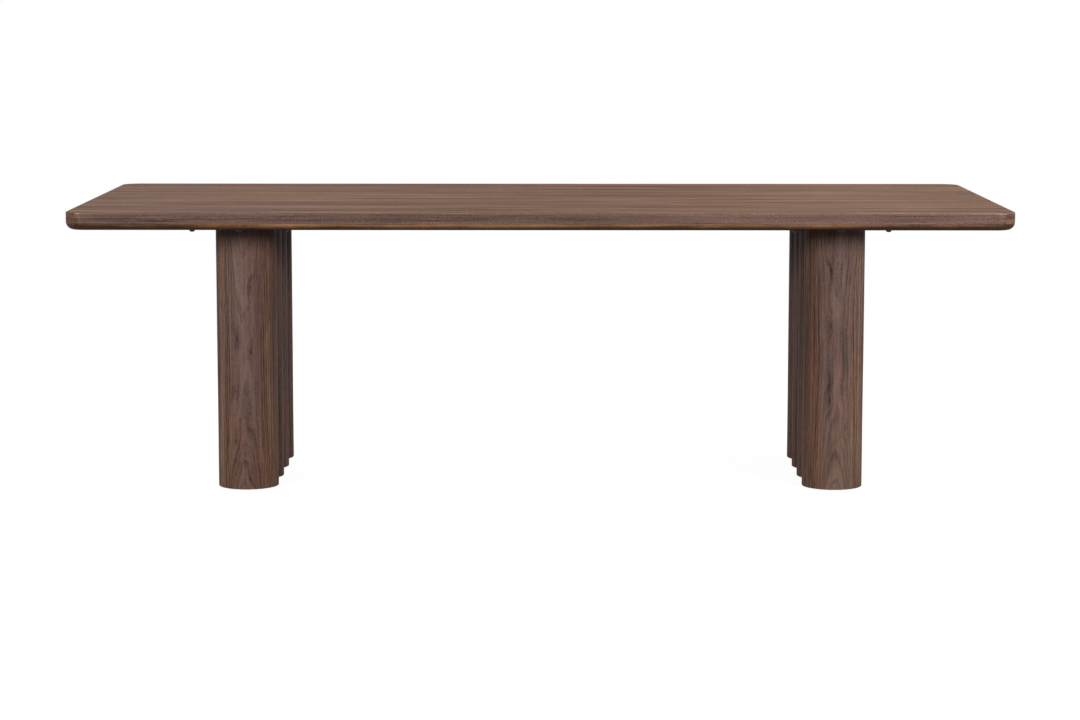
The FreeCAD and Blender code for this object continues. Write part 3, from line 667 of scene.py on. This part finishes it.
DULL = {"Specular_IOR_Level": 0.25}
COAT_COLOURS = ((0.010, 0.010, 0.011), (0.016, 0.016, 0.017))
OXIDE_COLOURS = ((0.008, 0.008, 0.009), (0.022, 0.021, 0.020))
ZINC_COLOURS = ((0.58, 0.60, 0.62), (0.70, 0.70, 0.68))
PLASTIC_COLOURS = ((0.020, 0.020, 0.021), (0.027, 0.027, 0.028))
powder_coat = speckled("powder_coat", COAT_COLOURS, 1100.0, 0.50, 0.00008, **DULL)
black_oxide = speckled("black_oxide", OXIDE_COLOURS, 2600.0, 0.42, 0.00002, **DULL)
zinc = speckled("zinc_plating", ZINC_COLOURS, 3200.0, 0.26, 0.00001, Metallic=1.0)
plastic = speckled("moulded_plastic", PLASTIC_COLOURS, 1900.0, 0.48, 0.00003, **DULL)
finish_nodes(powder_coat, [f"{side}_mounting_plate" for side in SIDES])
washers = ("flat_washers", "spring_washers")
finish_nodes(black_oxide, [f"{side}_{kind}" for side in SIDES for kind in washers])
sleeves = [f"{side}_{kind}" for side in SIDES for kind in ("block_screws", "block_inserts")]
finish_nodes(zinc, sleeves + ["tabletop_inserts", "foot_inserts"])

# %% [markdown]
# ## Turning and threading
#
# Bolts, feet and screws are lathe work, so they are made as a lathe makes them: a short line of
# points is spun once round the z axis. A thread is the same spin with a climb: one tooth is
# carried round and up by one pitch, copies of that turn are stacked and welded together, and the
# rod is sawn flat at both ends. A separate ridge laid on a plain rod would be simpler, but it
# would leave a hidden skin under the thread.

# %% A lathe
WELD = 1e-6
TURN_STEPS = 48
SHARP = math.radians(35.0)
UPRIGHT = {"cent": (0.0, 0.0, 0.0), "axis": (0.0, 0.0, 1.0)}
FULL_TURN = {"angle": math.tau, "steps": TURN_STEPS, "use_merge": True}


def spun(points):
    """Turns a line of (radius, height) points once round the z axis."""
    shape = bmesh.new()
    corners = [shape.verts.new((radius, 0.0, height)) for radius, height in points]
    line = corners + [shape.edges.new(pair) for pair in zip(corners, corners[1:])]
    bmesh.ops.spin(shape, geom=line, **FULL_TURN, **UPRIGHT)
    bmesh.ops.remove_doubles(shape, verts=shape.verts[:], dist=WELD)
    bmesh.ops.recalc_face_normals(shape, faces=shape.faces[:])
    return shape


def soften(shape, width):
    """Rounds every sharp edge of a shape by that width."""
    sharp = [edge for edge in shape.edges if edge.is_manifold and edge.calc_face_angle() > SHARP]
    rounding = {"offset": width, "segments": 2, "profile": 0.5, "affect": "EDGES"}
    bmesh.ops.bevel(shape, geom=sharp, material=-1, **rounding)
    return shape


print("the lathe turns a section in", TURN_STEPS, "steps")


# %% A thread
THREAD_STEPS = 32
TOOTH_SHARES = (0.0, 0.125, 0.4375, 0.5625, 0.875, 1.0)


def pull_in(corner, radius):
    """Moves a corner straight towards the z axis until it lies at that radius."""
    reach = math.hypot(corner.co.x, corner.co.y)
    corner.co.x, corner.co.y = corner.co.x * radius / reach, corner.co.y * radius / reach


def threaded(core, crest, bottom, top, pitch, point):
    """A threaded rod, sawn flat at both ends and pointed a little at the top."""
    shape = bmesh.new()
    tooth = zip((core, core, crest, crest, core, core), TOOTH_SHARES)
    first = bottom - pitch * 1.5
    corners = [shape.verts.new((radius, 0.0, first + share * pitch)) for radius, share in tooth]
    line = corners + [shape.edges.new(pair) for pair in zip(corners, corners[1:])]
    climb = {"dvec": (0.0, 0.0, pitch / THREAD_STEPS), "angle": math.tau, "steps": THREAD_STEPS}
    bmesh.ops.spin(shape, geom=line, **climb, **UPRIGHT)
    one_turn = shape.verts[:] + shape.edges[:] + shape.faces[:]
    for turn in range(1, math.ceil((top - first) / pitch) + 1):
        copied = bmesh.ops.duplicate(shape, geom=one_turn)["geom"]
        moved = [part for part in copied if isinstance(part, bmesh.types.BMVert)]
        bmesh.ops.translate(shape, verts=moved, vec=(0.0, 0.0, pitch * turn))
    bmesh.ops.remove_doubles(shape, verts=shape.verts[:], dist=WELD)
    for height, side in ((bottom, -1.0), (top, 1.0)):
        everything = shape.verts[:] + shape.edges[:] + shape.faces[:]
        plane = {"plane_co": (0.0, 0.0, height), "plane_no": (0.0, 0.0, side)}
        bmesh.ops.bisect_plane(shape, geom=everything, clear_outer=True, **plane)
        level = {corner for corner in shape.verts if abs(corner.co.z - height) < WELD}
        rim = [edge for edge in shape.edges if edge.is_boundary and level.issuperset(edge.verts)]
        bmesh.ops.edgeloop_fill(shape, edges=rim)
    for corner in shape.verts:
        limit = crest - max(0.0, corner.co.z - (top - point))
        if math.hypot(corner.co.x, corner.co.y) > limit:
            pull_in(corner, limit)
    bmesh.ops.recalc_face_normals(shape, faces=shape.faces[:])
    return shape


print("a thread is cut in", THREAD_STEPS, "steps a turn")


# %% Six flats for a spanner
HALF_SIDE = math.radians(30.0)
CHAMFER = math.radians(30.0)
EDGE_CUTS = 7


def six_sided(radius, bottom, top, cut):
    """A hexagon whose corners are turned off at both ends, as on a nut."""
    shape = bmesh.new()
    middle = (bottom + top) / 2
    bmesh.ops.create_cone(
        shape,
        cap_ends=True,
        segments=6,
        radius1=radius,
        radius2=radius,
        depth=top - bottom,
        matrix=Matrix.Translation((0.0, 0.0, middle)),
    )
    level = [e for e in shape.edges if abs(e.verts[0].co.z - e.verts[1].co.z) < WELD]
    bmesh.ops.subdivide_edges(shape, edges=level, cuts=EDGE_CUTS)
    ends = [face for face in shape.faces if abs(face.normal.z) > 0.9]
    bmesh.ops.inset_individual(shape, faces=ends, thickness=cut)
    inner = {corner for face in ends for corner in face.verts}
    flat = radius * math.cos(HALF_SIDE) - cut
    for corner in shape.verts:
        if corner in inner:
            pull_in(corner, flat)
        else:
            drop = (math.hypot(corner.co.x, corner.co.y) - flat) * math.tan(CHAMFER)
            corner.co.z += drop if corner.co.z < middle else -drop
    bmesh.ops.recalc_face_normals(shape, faces=shape.faces[:])
    return shape


print("each of six sides is cut into", EDGE_CUTS + 1, "steps for its chamfer")


# %% From shapes to a piece
def make_piece(name, shapes, places, node, body, finish):
    """Sets shapes down at each place as one piece, which stands for a CAD node."""
    mesh = bpy.data.meshes.new(name)
    whole = bmesh.new()
    for place in places:
        for shape in shapes:
            shape.to_mesh(mesh)
            count = len(whole.verts)
            whole.from_mesh(mesh)
            whole.verts.ensure_lookup_table()
            bmesh.ops.translate(whole, verts=whole.verts[count:], vec=place)
    whole.to_mesh(mesh)
    mesh.materials.append(finish.material)
    mesh.shade_smooth()
    mesh.set_sharp_from_angle(angle=SHARP)
    piece = bpy.data.objects.new(name, mesh)
    bpy.context.scene.collection.objects.link(piece)
    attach(piece, body)
    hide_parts(node)
    print(name, "has", len(mesh.polygons), "faces")


print("edges sharper than", round(math.degrees(SHARP)), "degrees stay sharp in a piece")

# %% [markdown]
# ## Levelling feet
#
# Each end column stands on a foot hidden inside its rim. A pad rests on the floor and holds the
# round knob of a screw, so the pad stays still while the screw turns. The screw has six flats for
# a spanner and a thread of 8 mm, 1.25 mm a turn, that climbs into the sleeve in the foot block.
# Pad and screw move apart from the table, so each is a piece that rides its own body.

# %% Foot screws and pads
THREAD_CREST = 0.0040
THREAD_CORE = 0.00323
THREAD_PITCH = 0.00125
THREAD_POINT = 0.0008
PAD_SECTION = [
    (0.0, 0.0),
    (0.020, 0.0),
    (0.020, 0.003),
    (0.012, 0.008),
    (0.0037, 0.008),
    (0.0037, 0.006),
    (0.00565, 0.006),
    (0.00565, 0.0022),
    (0.0, 0.0022),
]
PAD_ROUNDING = 0.0005
KNOB_SECTION = [
    (0.0, 0.00235),
    (0.0055, 0.00235),
    (0.0055, 0.00585),
    (0.0036, 0.00585),
    (0.0036, 0.0088),
    (0.0, 0.0088),
]
KNOB_ROUNDING = 0.0004
COLLAR_RADIUS = 0.0075
COLLAR_BOTTOM = 0.0083
COLLAR_TOP = 0.0137
COLLAR_CUT = 0.0003
STEM_BOTTOM = COLLAR_TOP - 0.0005
STEM_TOP = 0.0517

foot_pad = soften(spun(PAD_SECTION), PAD_ROUNDING)
foot_screw = [
    soften(spun(KNOB_SECTION), KNOB_ROUNDING),
    six_sided(COLLAR_RADIUS, COLLAR_BOTTOM, COLLAR_TOP, COLLAR_CUT),
    threaded(THREAD_CORE, THREAD_CREST, STEM_BOTTOM, STEM_TOP, THREAD_PITCH, THREAD_POINT),
]
for side, leg_x in SIDES.items():
    for end in ("front", "rear"):
        foot = f"{side}_{end}_foot"
        pad, screw = f"{foot}_pad", f"{foot}_screw"
        spots = [(leg_x, PLACES[end], 0.0)]
        make_piece(f"{foot}_levelling_pad", [foot_pad], spots, pad, pad, plastic)
        turned = f"{foot}_levelling_screw"
        make_piece(turned, foot_screw, spots, screw, screw, zinc)

# %% [markdown]
# ## Bolts under the top
#
# Along the front and back of each plate run three bolts with low domed heads, which the
# photograph shows as small dark bumps under the edge of the top. The dome is one arc of the
# section, and the socket for a 5 mm key is a ring of six sides, bridged to the dome and pushed in.

# %% Button head bolts
HEAD_RADIUS = 0.007
HEAD_HEIGHT = 0.0044
HEAD_RIM = 0.0006
CROWN_ARC_CENTRE = (0.00205, 0.0, 0.000115)
CROWN_ARC_ANGLE = math.radians(56.3)
CROWN_STEPS = 8
SOCKET_RADIUS = 0.0029
SOCKET_DEPTH = 0.0026
BOLT_START = -0.0003
BOLT_LENGTH = 0.030
BOLT_PITCH = 0.120
BOLT_ROW = 0.410
BOLT_SEAT = 0.6954


def button_head():
    """A low dome with a six-sided socket, underside at height zero."""
    shape = bmesh.new()
    rim = shape.verts.new((HEAD_RADIUS, 0.0, -HEAD_RIM))
    crown = {"cent": CROWN_ARC_CENTRE, "axis": (0.0, 1.0, 0.0), "angle": CROWN_ARC_ANGLE}
    bmesh.ops.spin(shape, geom=[rim], steps=CROWN_STEPS, **crown)
    seat = [shape.verts.new((HEAD_RADIUS, 0.0, 0.0)), shape.verts.new((0.0, 0.0, 0.0))]
    shape.edges.new((rim, seat[0]))
    shape.edges.new(seat)
    line = shape.verts[:] + shape.edges[:]
    bmesh.ops.spin(shape, geom=line, **FULL_TURN, **UPRIGHT)
    bmesh.ops.remove_doubles(shape, verts=shape.verts[:], dist=WELD)
    hole = [edge for edge in shape.edges if edge.is_boundary]
    level = Matrix.Translation((0.0, 0.0, -HEAD_HEIGHT))
    bmesh.ops.create_circle(shape, segments=6, radius=SOCKET_RADIUS, matrix=level)
    sides = [edge for edge in shape.edges if edge.is_wire]
    bmesh.ops.subdivide_edges(shape, edges=sides, cuts=TURN_STEPS // 6 - 1)
    mouth = [edge for edge in shape.edges if edge.is_wire]
    bmesh.ops.bridge_loops(shape, edges=hole + mouth)
    pushed = bmesh.ops.extrude_edge_only(shape, edges=mouth)["geom"]
    moved = [part for part in pushed if isinstance(part, bmesh.types.BMVert)]
    bmesh.ops.translate(shape, verts=moved, vec=(0.0, 0.0, SOCKET_DEPTH))
    bmesh.ops.edgeloop_fill(shape, edges=[edge for edge in shape.edges if edge.is_boundary])
    bmesh.ops.recalc_face_normals(shape, faces=shape.faces[:])
    return shape


shank = threaded(THREAD_CORE, THREAD_CREST, BOLT_START, BOLT_LENGTH, THREAD_PITCH, THREAD_POINT)
bolt = [button_head(), shank]
for side, leg_x in SIDES.items():
    across = [leg_x + step * BOLT_PITCH for step in (-1, 0, 1)]
    spots = [(bolt_x, row, BOLT_SEAT) for bolt_x in across for row in (-BOLT_ROW, BOLT_ROW)]
    made, node = f"{side}_button_bolts", f"{side}_plate_bolts"
    make_piece(made, bolt, spots, node, "root", black_oxide)

# %% [markdown]
# ## Floor, backdrop and light
#
# The photograph has a plain white ground. A white ground lit to white would spill light on the
# object, so here only what the camera and reflections see of the floor and the world is white,
# and for the light that falls on the table the floor is a pale grey. A little of the real
# lighting stays in the floor's white, so that the table still casts its shadow there. The lamps
# are large softboxes: one at either side in front, one behind and one overhead.

# %% Floor
FLOOR_SIZE = 60.0
FLOOR_GREY = (0.16, 0.16, 0.16, 1.0)
FLOOR_LIT = (0.30, 0.30, 0.30, 1.0)
FLOOR_GLOW = 0.92
WHITE = (1.0, 1.0, 1.0, 1.0)
NEAR_TABLE = 1.6
FAR_AWAY = 3.0
BACKGROUND_RAYS = ("Is Camera Ray", "Is Glossy Ray", "Is Transmission Ray")


def background_ray(owner):
    """1 for rays from the camera, a mirror or glass, and 0 for rays of light."""
    seen, mirrored, through = [owner.node("LightPath", {}, {}, ray) for ray in BACKGROUND_RAYS]
    return owner.maths("MAXIMUM", owner.maths("MAXIMUM", seen, mirrored), through)


bpy.ops.mesh.primitive_plane_add(size=FLOOR_SIZE, location=(0.0, 0.0, 0.0))
floor = bpy.context.object
floor.name = "floor"

floor_finish = Finish("pale_floor")
tree = floor_finish.tree
tree.nodes.remove(floor_finish.shader)
x, y, _ = split(floor_finish, floor_finish.place)
away = fade(floor_finish, floor_finish.maths("SQRT", x * x + y * y), NEAR_TABLE, FAR_AWAY)
grey = floor_finish.node("BsdfDiffuse", {}, {"Color": FLOOR_GREY})
lit = floor_finish.node("BsdfDiffuse", {}, {"Color": FLOOR_LIT})
glow = floor_finish.node("Emission", {}, {"Color": WHITE, "Strength": FLOOR_GLOW})
white = floor_finish.node("Emission", {}, {"Color": WHITE, "Strength": 1.0})
near = floor_finish.node("AddShader", {}, {0: lit, 1: glow})
seen = floor_finish.node("MixShader", {}, {0: away, 1: near, 2: white})
whole = floor_finish.node("MixShader", {}, {0: background_ray(floor_finish), 1: grey, 2: seen})
tree.links.new(whole.socket, tree.nodes["Material Output"].inputs["Surface"])
floor.data.materials.append(floor_finish.material)
print("the floor is", FLOOR_SIZE, "m wide")

# %% World
AMBIENT = 0.05


class World(Finish):
    """The world's own nodes, wired by the same methods."""

    def __init__(self):
        world = bpy.data.worlds.new("studio")
        world.use_nodes = True
        bpy.context.scene.world = world
        self.tree = world.node_tree


studio = World()
level = background_ray(studio) * (1.0 - AMBIENT) + AMBIENT
background = studio.tree.nodes["Background"]
studio.feed(background.inputs["Strength"], level)
studio.feed(background.inputs["Color"], WHITE)
print("the world is white to the camera and", AMBIENT, "to the table")


# %% Lamps
def softbox(name, place, aim, width, height, power, shines=True):
    """A large soft lamp that faces the point it is aimed at."""
    data = bpy.data.lights.new(name, "AREA")
    data.shape = "RECTANGLE"
    data.size, data.size_y, data.energy = width, height, power
    lamp = bpy.data.objects.new(name, data)
    bpy.context.scene.collection.objects.link(lamp)
    lamp.location = place
    lamp.rotation_euler = (Vector(aim) - Vector(place)).to_track_quat("-Z", "Y").to_euler()
    lamp.visible_glossy = shines
    print(name, "gives", power, "W")


# Each lamp's place, the point it faces, its width and height, and its power.
softbox("left_softbox", (-2.60, -2.50, 1.18), (-0.7, 0.0, 0.6), 1.2, 0.4, 64.0)
softbox("right_softbox", (2.60, -2.50, 1.18), (0.7, 0.0, 0.6), 1.2, 0.4, 74.0)
softbox("rear_softbox", (0.0, 4.5, 1.50), (0.0, 0.0, 0.5), 3.0, 1.0, 80.0, shines=False)
softbox("overhead_softbox", (0.0, 0.0, 3.2), (0.0, 0.0, 0.7), 3.4, 2.0, 82.0)
